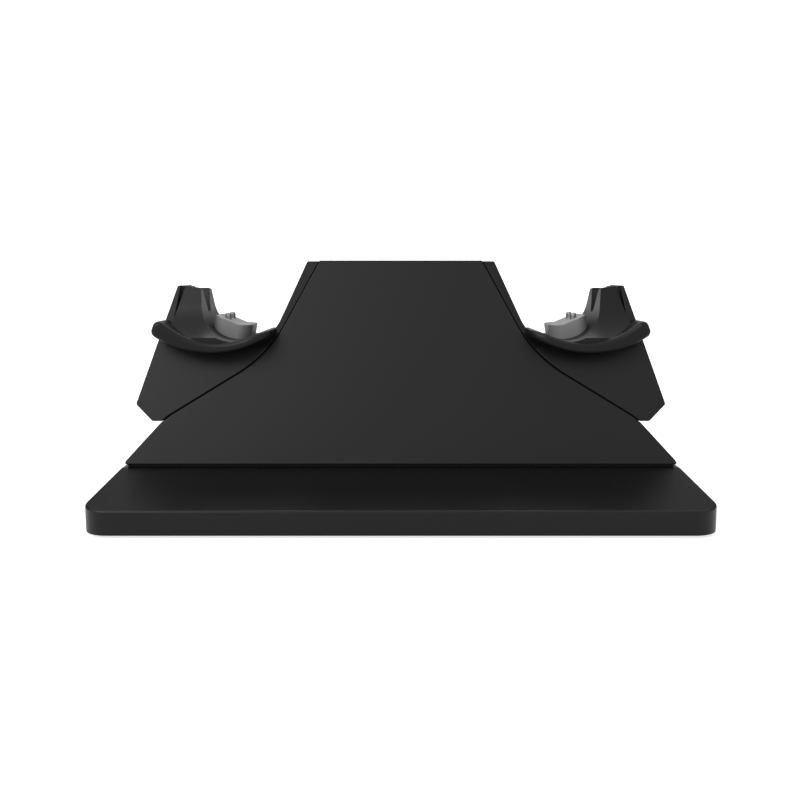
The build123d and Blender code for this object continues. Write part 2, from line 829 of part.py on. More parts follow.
# Power inlet in the rear edge of the slab
with BuildPart() as power_inlet:
    with BuildSketch(Plane.XZ.offset(-inlet_mouth)):
        with Locations((0, inlet_axis)):
            SlotOverall(inlet_width, inlet_height)
    extrude(amount=inlet_length)
    with BuildSketch(Plane.XZ.offset(-inlet_mouth)):
        with Locations((0, inlet_axis)):
            SlotOverall(inlet_width - 2 * inlet_wall, inlet_height - 2 * inlet_wall)
    extrude(amount=inlet_length - inlet_wall, mode=Mode.SUBTRACT)
write(power_inlet.part, "power_inlet")

with BuildPart() as inlet_tongue:
    with Locations((0, inlet_back + inlet_wall, inlet_axis)):
        Box(tongue_width, tongue_length, tongue_height, align=(Align.CENTER, Align.MIN, Align.CENTER))
write(inlet_tongue.part, "inlet_tongue")

# Leads from the main board to the contact boards
for side_name, side in sides:
    with BuildPart() as lead:
        with BuildLine() as route:
            FilletPolyline(
                (side * lead_half, main_board_front, inlet_axis),
                (side * lead_half, lead_row, inlet_axis),
                (side * lead_half, lead_row, above(lead_rise)),
                (side * lead_end_half, lead_end_row, above(lead_end_rise)),
                (side * lead_end_half, lead_end_row, above(contact_board_bottom)),
                radius=lead_bends,
            )
        with BuildSketch(Plane(origin=route.line @ 0, z_dir=route.line % 0)):
            Circle(lead_diameter / 2)
        sweep(path=route.line)
    write(lead.part, f"{side_name}_lead")

# Screws
write(screws(base_posts, foot_drop + screw_head_height, base_screw_length), "base_screws")
write(screws(body_places, slab_inside_top, body_screw_length), "body_screws")
write(screws(cradle_places, above(saddle_seat - shell_wall), cradle_screw_length), "cradle_screws")
write(screws(contact_places, above(contact_board_bottom), contact_screw_length), "contact_screws")
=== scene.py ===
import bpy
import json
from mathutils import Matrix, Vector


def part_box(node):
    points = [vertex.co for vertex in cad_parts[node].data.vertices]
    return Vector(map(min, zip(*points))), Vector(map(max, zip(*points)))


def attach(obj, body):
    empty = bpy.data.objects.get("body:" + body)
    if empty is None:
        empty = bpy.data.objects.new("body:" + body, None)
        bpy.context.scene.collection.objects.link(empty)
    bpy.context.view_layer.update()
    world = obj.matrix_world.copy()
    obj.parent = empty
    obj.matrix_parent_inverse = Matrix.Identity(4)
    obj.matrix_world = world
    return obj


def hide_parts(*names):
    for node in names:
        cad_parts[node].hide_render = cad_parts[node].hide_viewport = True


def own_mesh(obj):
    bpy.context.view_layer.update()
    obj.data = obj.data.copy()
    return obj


bl_info = {
    "name": "Controller charging dock",
    "version": (1, 1, 0),
    "blender": (4, 5, 0),
    "location": "3D View > Sidebar > Dock",
    "description": "Finishes a twin charging dock for game controllers and sets it in a plain studio",
    "category": "Object",
}

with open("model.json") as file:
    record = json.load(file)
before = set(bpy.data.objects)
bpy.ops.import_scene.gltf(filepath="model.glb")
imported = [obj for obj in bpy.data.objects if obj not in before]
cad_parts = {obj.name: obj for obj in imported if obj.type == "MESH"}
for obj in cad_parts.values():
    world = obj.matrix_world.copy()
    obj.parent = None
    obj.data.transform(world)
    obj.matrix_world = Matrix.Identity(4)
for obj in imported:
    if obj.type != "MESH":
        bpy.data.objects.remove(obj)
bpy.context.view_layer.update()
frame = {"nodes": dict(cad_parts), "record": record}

import json
import math

import bmesh
import bpy
from mathutils import Vector

MM = 0.001
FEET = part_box("rubber_feet")
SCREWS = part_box("base_screws")
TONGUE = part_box("inlet_tongue")

# A face looks along an axis when more than this share of its normal does
FACING = 0.9
# Places closer together than this are the same
TOUCH = 0.01 * MM
# Doubles closer together than this are merged
DOUBLES = 0.002 * MM
# Edges that turn by less than this are shaded smooth
SMOOTH_ANGLE = math.radians(35.0)
# Depth of the finest surface relief
RELIEF = 0.02 * MM
# How much glossier a handled edge is
EDGE_GLOSS = 0.08


def colour(name, description, value):
    """Colour that a user may change."""
    return bpy.props.FloatVectorProperty(
        name=name, description=description, subtype="COLOR", size=3, min=0.0, max=1.0, default=value)


def length(name, description, millimetres):
    """Length that a user may change, kept in metres."""
    return bpy.props.FloatProperty(
        name=name, description=description, unit="LENGTH", min=0.0, precision=5, default=millimetres * MM)


class DockColours(bpy.types.PropertyGroup):
    """Colours of the dock's finishes"""

    shell: colour("Shell", "Black of the moulded shells", (0.0042, 0.0042, 0.0044))
    # Paler black along the edges: partly polish from handling, partly a painted highlight
    rubbed_and_highlight: colour("Rubbed shell", "Black where edges are polished by handling", (0.011, 0.011, 0.0114))
    block: colour("Contact block", "Grey of the contact blocks", (0.27, 0.27, 0.272))
    # Paler grey along the blocks' edges: partly rub wear, partly a painted highlight
    rubbed_block_and_highlight: colour("Rubbed block", "Grey where the contact blocks are rubbed", (0.33, 0.33, 0.332))
    rubber: colour("Rubber", "Colour of the feet and the leads", (0.014, 0.014, 0.014))
    steel: colour("Steel", "Bare steel of the ballast, the inlet and the springs", (0.46, 0.46, 0.47))
    blackened: colour("Screws", "Blackened steel of the screws", (0.09, 0.09, 0.095))
    nickel: colour("Nickel", "Plating of the contact pins", (0.3, 0.298, 0.292))
    gold: colour("Gold", "Plating of the inlet's fingers", (0.83, 0.6, 0.24))
    brass: colour("Brass", "Turned brass of the pin barrels", (0.62, 0.45, 0.18))
    mask: colour("Board", "Solder mask of the boards", (0.01, 0.09, 0.035))


class DockSizes(bpy.types.PropertyGroup):
    """Sizes of the fine pieces and of the surface detail"""

    lip_end_radius: length("Lip end radius", "How far a lip stands out where its inner end turns in", 9.488)
    lip_end_depth: length("Lip end depth", "Thickness of a lip's inner end", 7.0)
    lip_end_round: length("Lip end round", "Rounding of a lip's outer edges", 1.9)
    lip_end_root: length("Lip end root", "How far a lip's inner end runs into the body", 3.0)
    front_lip_end: length("Front lip end", "Where a front lip begins to turn in, from the middle", 56.488)
    front_lip_low: length("Front lip underside", "Height of a front lip's underside there", 55.93)
    front_lip_high: length("Front lip top", "Height of a front lip's top there", 60.157)
    rear_lip_end: length("Rear lip end", "Where a rear lip begins to turn in, from the middle", 68.988)
    rear_lip_low: length("Rear lip underside", "Height of a rear lip's underside there", 53.603)
    rear_lip_high: length("Rear lip top", "Height of a rear lip's top there", 58.136)
    front_lip_rise: bpy.props.FloatProperty(
        name="Front lip rise", description="Slope at which a front lip climbs to the body", default=0.38)
    rear_lip_rise: bpy.props.FloatProperty(
        name="Rear lip rise", description="Slope at which a rear lip climbs to the body", default=0.05)
    screw_head: length("Screw head", "Diameter of a base screw's head", 4.4)
    screw_head_height: length("Screw head height", "Height of a base screw's head", 1.2)
    screw_head_round: length("Screw head round", "Rounding of a base screw's head", 0.4)
    screw_shank: length("Screw shank", "Diameter of a base screw's shank", 2.2)
    recess_length: length("Recess length", "Length of one slot of the cross recess", 2.6)
    recess_width: length("Recess width", "Width of one slot of the cross recess", 0.62)
    recess_depth: length("Recess depth", "Depth of the cross recess", 0.8)
    foot: length("Foot", "Diameter of a rubber foot", 14.0)
    foot_round: length("Foot round", "Rounding of a rubber foot's rim", 0.3)
    foot_rim: length("Foot rim", "Width of the flat ring round a foot's groove", 1.9)
    foot_groove: length("Foot groove", "Width of a foot's ring groove", 1.1)
    foot_groove_depth: length("Foot groove depth", "Depth of a foot's ring groove", 0.45)
    finger_width: length("Finger width", "Width of a plated finger in the inlet", 0.27)
    finger_length: length("Finger length", "Length of a plated finger in the inlet", 3.6)
    finger_height: length("Finger height", "How far a plated finger stands proud", 0.04)
    finger_pitch: length("Finger pitch", "Spacing of the plated fingers in the inlet", 0.5)
    finger_inset: length("Finger inset", "How far a plated finger lies behind the tongue's end", 0.6)
    finger_count: bpy.props.IntProperty(
        name="Finger count", description="Number of plated fingers on each face of the tongue", min=1,
        default=12)
    coil_wire: length("Coil wire", "Diameter of a contact spring's wire", 0.4)
    coil_turns: bpy.props.IntProperty(
        name="Coil turns", description="Number of turns of a contact spring", min=1, default=5)
    coil_play: length("Coil play", "Room left above a fully pressed contact spring", 0.02)
    grain: length("Grain", "Size of the moulded surface's grain", 0.22)
    rub: length("Edge rub", "Width of the polish along handled edges", 0.7)


class DockStudio(bpy.types.PropertyGroup):
    """Camera and light"""

    camera_back: bpy.props.FloatProperty(
        name="Camera distance", description="Distance of the camera in front of the dock's middle",
        unit="LENGTH", default=0.3297)
    camera_side: bpy.props.FloatProperty(
        name="Camera side", description="How far the camera stands to the left of the dock's middle",
        unit="LENGTH", default=0.0003)
    camera_height: bpy.props.FloatProperty(
        name="Camera height", description="Height of the camera above the floor", unit="LENGTH",
        default=0.0823)
    camera_pitch: bpy.props.FloatProperty(
        name="Camera pitch", description="How far the camera looks down", subtype="ANGLE",
        default=math.radians(8.47))
    lens: bpy.props.FloatProperty(
        name="Lens", description="Focal length on a 36 mm sensor", unit="CAMERA", default=37.35)
    sky: bpy.props.FloatProperty(
        name="Sky", description="Strength of the even light from all round", default=0.5)
    key: bpy.props.FloatProperty(
        name="Key", description="Power of the softbox on the left", unit="POWER", default=14.0)
    back: bpy.props.FloatProperty(
        name="Back light", description="Power of the softbox behind the dock", unit="POWER", default=6.0)
    floor_glow: bpy.props.FloatProperty(
        name="Floor glow", description="Lifts the floor to white for the eye", default=0.75)
    floor_sheen: bpy.props.FloatProperty(
        name="Floor in reflections", description="Lifts the floor to white in reflections", default=0.3)
    wall_glow: bpy.props.FloatProperty(
        name="Backdrop glow", description="Lifts the backdrop to white for the eye", default=1.0)
    wall_sheen: bpy.props.FloatProperty(
        name="Backdrop in reflections", description="Lifts the backdrop's foot to white in reflections",
        default=0.6)
    wall_radius: bpy.props.FloatProperty(
        name="Backdrop radius", description="Radius of the backdrop behind the dock", unit="LENGTH",
        default=1.6)
    wall_height: bpy.props.FloatProperty(
        name="Backdrop height", description="Height of the backdrop behind the dock", unit="LENGTH",
        default=1.25)


def noise(tree, scale, detail=2.0, roughness=0.5):
    """Noise on the piece's own coordinates."""
    place = tree.nodes.new("ShaderNodeTexCoord")
    node = tree.nodes.new("ShaderNodeTexNoise")
    node.inputs["Scale"].default_value = scale
    node.inputs["Detail"].default_value = detail
    node.inputs["Roughness"].default_value = roughness
    tree.links.new(place.outputs["Object"], node.inputs["Vector"])
    return node


def ranged(tree, source, low, high, from_low=0.0, from_high=1.0):
    """Map a value from one range to another."""
    node = tree.nodes.new("ShaderNodeMapRange")
    node.inputs["From Min"].default_value = from_low
    node.inputs["From Max"].default_value = from_high
    node.inputs["To Min"].default_value = low
    node.inputs["To Max"].default_value = high
    tree.links.new(source, node.inputs["Value"])
    return node.outputs["Result"]


def calculated(tree, operation, first, second):
    """Join two values, either of which may be a plain number."""
    node = tree.nodes.new("ShaderNodeMath")
    node.operation = operation
    for socket, value in zip(node.inputs, (first, second)):
        if isinstance(value, bpy.types.NodeSocket):
            tree.links.new(value, socket)
        else:
            socket.default_value = value
    return node.outputs["Value"]


def group(name, inputs, outputs):
    """Empty shader node group with float sockets, and its two ends."""
    tree = bpy.data.node_groups.new(name, "ShaderNodeTree")
    for label, value in inputs.items():
        socket = tree.interface.new_socket(label, in_out="INPUT", socket_type="NodeSocketFloat")
        socket.default_value = value
    for label in outputs:
        tree.interface.new_socket(label, in_out="OUTPUT", socket_type="NodeSocketFloat")
    return tree, tree.nodes.new("NodeGroupInput").outputs, tree.nodes.new("NodeGroupOutput").inputs


def moulded_skin():
    """Node group: spark-eroded grain, slow gloss drift and fine marks of a moulding."""
    name = "moulded skin"
    if name in bpy.data.node_groups:
        return bpy.data.node_groups[name]
    tree, given, made = group(
        name, {"Grain Scale": 4500.0, "Rough Low": 0.3, "Rough High": 0.4}, ("Height", "Roughness", "Shade"))
    grain = noise(tree, 4500.0, 3.0, 0.6)
    tree.links.new(given["Grain Scale"], grain.inputs["Scale"])
    drift = ranged(tree, noise(tree, 26.0, 3.0, 0.55).outputs["Fac"], 0.0, 0.65, 0.3, 0.7)
    fine = ranged(tree, noise(tree, 900.0).outputs["Fac"], 0.0, 0.35)
    rough = tree.nodes.new("ShaderNodeMapRange")
    tree.links.new(calculated(tree, "ADD", drift, fine), rough.inputs["Value"])
    tree.links.new(given["Rough Low"], rough.inputs["To Min"])
    tree.links.new(given["Rough High"], rough.inputs["To Max"])
    tree.links.new(grain.outputs["Fac"], made["Height"])
    tree.links.new(rough.outputs["Result"], made["Roughness"])
    tree.links.new(ranged(tree, grain.outputs["Fac"], 0.86, 1.14, 0.25, 0.75), made["Shade"])
    return tree


def drawn_metal():
    """Node group: fine lay, stains and gloss of drawn or turned metal."""
    name = "drawn metal"
    if name in bpy.data.node_groups:
        return bpy.data.node_groups[name]
    tree, given, made = group(name, {"Rough Low": 0.2, "Rough High": 0.34}, ("Height", "Roughness", "Shade"))
    stain = noise(tree, 300.0, 3.0, 0.6)
    rough = tree.nodes.new("ShaderNodeMapRange")
    tree.links.new(stain.outputs["Fac"], rough.inputs["Value"])
    tree.links.new(given["Rough Low"], rough.inputs["To Min"])
    tree.links.new(given["Rough High"], rough.inputs["To Max"])
    tree.links.new(noise(tree, 6000.0, 2.0, 0.6).outputs["Fac"], made["Height"])
    tree.links.new(rough.outputs["Result"], made["Roughness"])
    tree.links.new(ranged(tree, stain.outputs["Fac"], 0.85, 1.1), made["Shade"])
    return tree


def edge_rub_and_highlight():
    """Node group: patchy mask along the outer edges that hands and cloths polish, also used to paint a
    highlight on them.
    """
    name = "edge rub"
    if name in bpy.data.node_groups:
        return bpy.data.node_groups[name]
    tree, given, made = group(name, {"Width": 0.0007}, ("Mask",))
    rounded = tree.nodes.new("ShaderNodeBevel")
    rounded.samples = 6
    tree.links.new(given["Width"], rounded.inputs["Radius"])
    flat = tree.nodes.new("ShaderNodeNewGeometry")
    turn = tree.nodes.new("ShaderNodeVectorMath")
    turn.operation = "DOT_PRODUCT"
    tree.links.new(rounded.outputs["Normal"], turn.inputs[0])
    tree.links.new(flat.outputs["Normal"], turn.inputs[1])
    edge = ranged(tree, turn.outputs["Value"], 1.0, 0.0, 0.86, 0.99)
    patch = ranged(tree, noise(tree, 160.0, 4.0, 0.6).outputs["Fac"], 0.25, 1.0, 0.35, 0.65)
    tree.links.new(calculated(tree, "MULTIPLY", edge, patch), made["Mask"])
    return tree


def finish(name, base, skin, values, bump, metallic=0.0, specular=0.5):
    """Material whose colour, gloss and relief come from a shared node group."""
    material = bpy.data.materials.new(name)
    material.use_nodes = True
    tree = material.node_tree
    shader = tree.nodes["Principled BSDF"]
    shader.inputs["Metallic"].default_value = metallic
    shader.inputs["Specular IOR Level"].default_value = specular
    surface = tree.nodes.new("ShaderNodeGroup")
    surface.node_tree = skin
    for label, value in values.items():
        surface.inputs[label].default_value = value
    tint = tree.nodes.new("ShaderNodeMix")
    tint.data_type = "RGBA"
    tint.blend_type = "MULTIPLY"
    tint.inputs["Factor"].default_value = 1.0
    tint.inputs["A"].default_value = (*base, 1.0)
    tree.links.new(surface.outputs["Shade"], tint.inputs["B"])
    tree.links.new(tint.outputs["Result"], shader.inputs["Base Color"])
    tree.links.new(surface.outputs["Roughness"], shader.inputs["Roughness"])
    relief = tree.nodes.new("ShaderNodeBump")
    relief.inputs["Strength"].default_value = bump
    relief.inputs["Distance"].default_value = RELIEF
    tree.links.new(surface.outputs["Height"], relief.inputs["Height"])
    tree.links.new(relief.outputs["Normal"], shader.inputs["Normal"])
    return material


def polish_and_highlight_edges(material, worn_and_highlight, width, gloss):
    """Let a material turn paler and glossier along its handled edges; the paler colour is partly rub wear
    and partly a painted highlight.
    """
    tree = material.node_tree
    shader = tree.nodes["Principled BSDF"]
    rub = tree.nodes.new("ShaderNodeGroup")
    rub.node_tree = edge_rub_and_highlight()
    rub.inputs["Width"].default_value = width
    plain = shader.inputs["Base Color"].links[0].from_socket
    # Paler colour along the edges: partly rub wear, partly a painted highlight
    blend = tree.nodes.new("ShaderNodeMix")
    blend.data_type = "RGBA"
    blend.inputs["B"].default_value = (*worn_and_highlight, 1.0)
    tree.links.new(rub.outputs["Mask"], blend.inputs["Factor"])
    tree.links.new(plain, blend.inputs["A"])
    tree.links.new(blend.outputs["Result"], shader.inputs["Base Color"])
    rough = shader.inputs["Roughness"].links[0].from_socket
    drop = calculated(tree, "MULTIPLY", rub.outputs["Mask"], gloss)
    tree.links.new(calculated(tree, "SUBTRACT", rough, drop), shader.inputs["Roughness"])
    return material


def moulding(name, base, rough, grain_size, bump, specular=0.5):
    """Moulded plastic or rubber."""
    values = {"Grain Scale": 1.0 / grain_size, "Rough Low": rough[0], "Rough High": rough[1]}
    return finish(name, base, moulded_skin(), values, bump, specular=specular)


def metal(name, base, rough, bump=0.15):
    """Bare or plated metal."""
    values = {"Rough Low": rough[0], "Rough High": rough[1]}
    return finish(name, base, drawn_metal(), values, bump, metallic=1.0)


def paint(material, *names):
    """Give CAD nodes one material."""
    for name in names:
        mesh = frame["nodes"][name].data
        mesh.materials.clear()
        mesh.materials.append(material)


def both_sides(*names):
    """The left and the right node of each name."""
    return [f"{side}_{name}" for side in ("left", "right") for name in names]


def four_pins(kind):
    """The nodes of one kind that belong to the four spring pins."""
    return [f"{side}_{row}_{kind}" for side in ("left", "right") for row in ("front", "rear")]


def pick_faces(piece, test):
    """Select the faces that pass a test, in edit mode."""
    bpy.ops.mesh.select_mode(type="FACE")
    bpy.ops.mesh.select_all(action="DESELECT")
    mesh = bmesh.from_edit_mesh(piece.data)
    for face in mesh.faces:
        face.select_set(test(face))
    bmesh.update_edit_mesh(piece.data)


def pick_edges(piece, test):
    """Select the edges whose two ends pass a test, in edit mode."""
    bpy.ops.mesh.select_mode(type="EDGE")
    bpy.ops.mesh.select_all(action="DESELECT")
    mesh = bmesh.from_edit_mesh(piece.data)
    for edge in mesh.edges:
        edge.select_set(all(test(end.co) for end in edge.verts))
    bmesh.update_edit_mesh(piece.data)


def pick_verts(piece, test):
    """Select the corners that pass a test, in edit mode."""
    bpy.ops.mesh.select_mode(type="VERT")
    bpy.ops.mesh.select_all(action="DESELECT")
    mesh = bmesh.from_edit_mesh(piece.data)
    for corner in mesh.verts:
        corner.select_set(test(corner.co))
    bmesh.update_edit_mesh(piece.data)


def lift(height):
    """Extrude the selected faces straight up or down."""
    bpy.ops.mesh.extrude_region_move(TRANSFORM_OT_translate={"value": (0.0, 0.0, height)})


def start(add, **options):
    """Add a primitive to an empty selection, put its place into its mesh and open it for editing."""
    bpy.ops.object.select_all(action="DESELECT")
    add(**options)
    bpy.ops.object.transform_apply(location=True, rotation=True, scale=True)
    bpy.ops.object.mode_set(mode="EDIT")
    return bpy.context.object


def close_piece(piece):
    """Merge doubles, turn the faces outwards and leave edit mode."""
    bpy.ops.mesh.select_all(action="SELECT")
    bpy.ops.mesh.remove_doubles(threshold=DOUBLES)
    bpy.ops.mesh.normals_make_consistent(inside=False)
    bpy.ops.object.mode_set(mode="OBJECT")
    return piece


def repeat(first, places, name):
    """Copy a piece to all places, each copy with its own mesh, and join the copies at the origin."""
    copies = []
    for place in places:
        bpy.ops.object.select_all(action="DESELECT")
        first.select_set(True)
        bpy.context.view_layer.objects.active = first
        bpy.ops.object.duplicate(linked=False)
        bpy.ops.transform.translate(value=place)
        copies.append(bpy.context.object)
    bpy.data.objects.remove(first)
    for copy in copies:
        copy.select_set(True)
    bpy.ops.object.join()
    piece = bpy.context.object
    bpy.ops.object.transform_apply(location=True, rotation=True, scale=True)
    bpy.ops.object.shade_smooth_by_angle(angle=SMOOTH_ANGLE)
    piece.name = name
    return piece


def corners(box, inset, height):
    """The four corners of a box, moved in by the inset, at one height."""
    low, high = box
    return [(x, y, height) for x in (low.x + inset, high.x - inset) for y in (low.y + inset, high.y - inset)]


def dress(piece, material):
    """Give a new piece its material and its place on the dock."""
    piece.data.materials.clear()
    piece.data.materials.append(material)
    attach(piece, "dock")


class DOCK_OT_shells(bpy.types.Operator):
    """Finish the base, the body, the panels and the cradles as black mouldings"""

    bl_idname = "dock.shells"
    bl_label = "Finish shells"

    def execute(self, context):
        self.finish_shell(context, "base black", (0.29, 0.33), 0.06, 0.28, "base_cover")
        self.finish_shell(context, "plate black", (0.44, 0.55), 0.3, 0.28, "base_plate")
        self.finish_shell(context, "body black", (0.42, 0.5), 0.2, 0.28, "body_shell")
        self.finish_shell(context, "panel black", (0.42, 0.5), 0.2, 0.28, "front_panel", "rear_panel")
        self.finish_shell(context, "cradle black", (0.36, 0.44), 0.16, 0.24, *both_sides("cradle"))
        return {"FINISHED"}

    def finish_shell(self, context, name, rough, bump, specular, *nodes):
        """Paint the nodes with one black moulding that is polished along its edges."""
        colours = context.scene.dock_colours
        sizes = context.scene.dock_sizes
        material = moulding(name, colours.shell, rough, sizes.grain, bump, specular)
        paint(polish_and_highlight_edges(material, colours.rubbed_and_highlight, sizes.rub, EDGE_GLOSS), *nodes)


class DOCK_OT_lip_ends(bpy.types.Operator):
    """Model the rounded inner ends that lead the cradles' lips into the body"""

    bl_idname = "dock.lip_ends"
    bl_label = "Model lip ends"

    def execute(self, context):
        sizes = context.scene.dock_sizes
        front = (sizes.front_lip_end, sizes.front_lip_low, sizes.front_lip_high, sizes.front_lip_rise)
        rear = (sizes.rear_lip_end, sizes.rear_lip_low, sizes.rear_lip_high, sizes.rear_lip_rise)
        for side, name in ((-1, "left"), (1, "right")):
            ends = [self.lip_end(sizes, side, -1, *front), self.lip_end(sizes, side, 1, *rear)]
            for end in ends:
                end.select_set(True)
            bpy.ops.object.join()
            bpy.ops.object.shade_smooth_by_angle(angle=SMOOTH_ANGLE)
            piece = bpy.context.object
            piece.name = f"{name}_lip_ends"
            dress(piece, bpy.data.materials["cradle black"])
        return {"FINISHED"}

    def lip_end(self, sizes, side, row, place, low, high, rise):
        """One end, turned in from the lip's straight front to the body's wall."""
        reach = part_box("right_cradle")[1].y
        depth = sizes.lip_end_depth
        radius = sizes.lip_end_radius
        middle = (side * place, row * (reach - depth / 2), (low + high) / 2)
        end = start(
            bpy.ops.mesh.primitive_plane_add, size=1.0, location=middle, rotation=(0.0, math.pi / 2, 0.0))
        bpy.ops.mesh.select_all(action="SELECT")
        bpy.ops.transform.resize(value=(1.0, depth, high - low), center_override=middle)
        pick_verts(end, lambda spot: row * spot.y > reach - depth / 2)
        bpy.ops.mesh.bevel(offset=sizes.lip_end_round, segments=5, affect="VERTICES")
        bpy.ops.mesh.select_all(action="SELECT")
        wall = row * (reach - radius)
        bpy.ops.mesh.spin(
            steps=10, angle=-side * row * math.pi / 2, center=(side * place, wall, middle[2]),
            axis=(0.0, 0.0, 1.0))
        pick_faces(end, lambda face: all(abs(corner.co.y - wall) < TOUCH for corner in face.verts))
        bpy.ops.mesh.extrude_region_move(
            TRANSFORM_OT_translate={"value": (0.0, -row * sizes.lip_end_root, 0.0)})
        mesh = bmesh.from_edit_mesh(end.data)
        for corner in mesh.verts:
            corner.co.z += rise * (place - side * corner.co.x)
        bmesh.update_edit_mesh(end.data)
        return close_piece(end)


class DOCK_OT_contacts(bpy.types.Operator):
    """Finish the contact blocks and their spring pins"""

    bl_idname = "dock.contacts"
    bl_label = "Finish contacts"

    def execute(self, context):
        colours = context.scene.dock_colours
        sizes = context.scene.dock_sizes
        block = moulding("block grey", colours.block, (0.38, 0.48), sizes.grain, 0.15, specular=0.4)
        paint(polish_and_highlight_edges(block, colours.rubbed_block_and_highlight, sizes.rub, EDGE_GLOSS), *both_sides("contact_block"))
        paint(metal("pin nickel", colours.nickel, (0.42, 0.56)), *four_pins("pin"))
        paint(metal("barrel brass", colours.brass, (0.2, 0.34)), *four_pins("barrel"))
        return {"FINISHED"}


class DOCK_OT_coils(bpy.types.Operator):
    """Model the coil springs of the contact pins"""

    bl_idname = "dock.coils"
    bl_label = "Model coil springs"

    def execute(self, context):
        sizes = context.scene.dock_sizes
        steel = metal("spring steel", context.scene.dock_colours.steel, (0.2, 0.32))
        for joint in frame["record"]["behaviour"]["joints"]:
            contact = joint["name"].removesuffix("_press")
            node = f"{contact}_spring"
            low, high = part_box(node)
            foot = ((low.x + high.x) / 2, (low.y + high.y) / 2, low.z)
            coil = self.coil(sizes, (high.x - low.x) / 2, high.z - low.z)
            piece = repeat(coil, [foot], f"{contact}_coil")
            dress(piece, steel)
            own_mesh(piece)
            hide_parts(node)
        return {"FINISHED"}

    def coil(self, sizes, reach, height):
        """One coil that stands on the origin."""
        wire = sizes.coil_wire
        coil = start(
            bpy.ops.mesh.primitive_circle_add, vertices=12, radius=wire / 2,
            location=(reach - wire / 2, 0.0, wire / 2), rotation=(math.pi / 2, 0.0, 0.0))
        bpy.ops.object.mode_set(mode="OBJECT")
        turns = coil.modifiers.new("turns", "SCREW")
        turns.iterations = sizes.coil_turns
        turns.screw_offset = (height - wire) / sizes.coil_turns
        turns.steps = 24
        turns.render_steps = turns.steps
        bpy.ops.object.modifier_apply(modifier=turns.name)
        bpy.ops.object.mode_set(mode="EDIT")
        bpy.ops.mesh.select_all(action="SELECT")
        bpy.ops.mesh.fill_holes(sides=0)
        return close_piece(coil)


class DOCK_OT_inside(bpy.types.Operator):
    """Finish what lies inside the base and the body"""

    bl_idname = "dock.inside"
    bl_label = "Finish inside"

    def execute(self, context):
        colours = context.scene.dock_colours
        grain = context.scene.dock_sizes.grain
        paint(metal("ballast steel", colours.steel, (0.3, 0.5), 0.3), "ballast_plate")
        screw = metal("blackened steel", colours.blackened, (0.3, 0.45))
        paint(screw, "base_screws", "body_screws", "cradle_screws", "contact_screws")
        board = moulding("board green", colours.mask, (0.25, 0.4), grain, 0.1)
        paint(board, "main_board", *both_sides("contact_board"))
        paint(moulding("lead black", colours.rubber, (0.4, 0.5), grain, 0.2), *both_sides("lead"))
        return {"FINISHED"}


class DOCK_OT_screws(bpy.types.Operator):
    """Model the base screws with rounded heads and cross recesses"""

    bl_idname = "dock.screws"
    bl_label = "Model base screws"
    tip_taper = (0.4, 0.4, 1.0)
    slot_taper = (0.45, 0.7, 1.0)

    def execute(self, context):
        sizes = context.scene.dock_sizes
        first = self.blank(sizes)
        self.cut_recess(first, sizes)
        places = corners(SCREWS, sizes.screw_head / 2, SCREWS[0].z)
        piece = repeat(first, places, "base_screw_set")
        dress(piece, bpy.data.materials["blackened steel"])
        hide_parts("base_screws")
        return {"FINISHED"}

    def blank(self, sizes):
        """Head with a rounded rim and a shank with a tapered end, head down on the origin."""
        head = sizes.screw_head_height
        shank = sizes.screw_shank
        tip = shank / 2
        screw = start(
            bpy.ops.mesh.primitive_cylinder_add, vertices=40, radius=sizes.screw_head / 2, depth=head,
            location=(0.0, 0.0, head / 2))
        pick_faces(screw, lambda face: face.normal.z > FACING)
        bpy.ops.mesh.inset(thickness=(sizes.screw_head - shank) / 2)
        lift(SCREWS[1].z - SCREWS[0].z - head - tip)
        lift(tip)
        bpy.ops.transform.resize(value=self.tip_taper)
        pick_edges(screw, lambda end: end.z < TOUCH)
        bpy.ops.mesh.bevel(offset=sizes.screw_head_round, segments=4, affect="EDGES")
        return close_piece(screw)

    def cut_recess(self, screw, sizes):
        """Cut two crossed slots, narrower at their bottom, into the head."""
        depth = sizes.recess_depth
        slots = start(bpy.ops.mesh.primitive_cube_add, size=1.0)
        bpy.ops.transform.resize(value=(sizes.recess_length, sizes.recess_width, 2 * depth))
        pick_faces(slots, lambda face: face.normal.z > FACING)
        bpy.ops.transform.resize(value=self.slot_taper)
        bpy.ops.mesh.select_all(action="SELECT")
        bpy.ops.mesh.duplicate()
        bpy.ops.transform.rotate(value=math.pi / 2, orient_axis="Z", center_override=(0.0, 0.0, 0.0))
        bpy.ops.object.mode_set(mode="OBJECT")
        bpy.ops.object.select_all(action="DESELECT")
        screw.select_set(True)
        bpy.context.view_layer.objects.active = screw
        cut = screw.modifiers.new("cross recess", "BOOLEAN")
        cut.operation = "DIFFERENCE"
        cut.solver = "EXACT"
        cut.use_self = True
        cut.object = slots
        bpy.ops.object.modifier_apply(modifier=cut.name)
        bpy.data.objects.remove(slots)


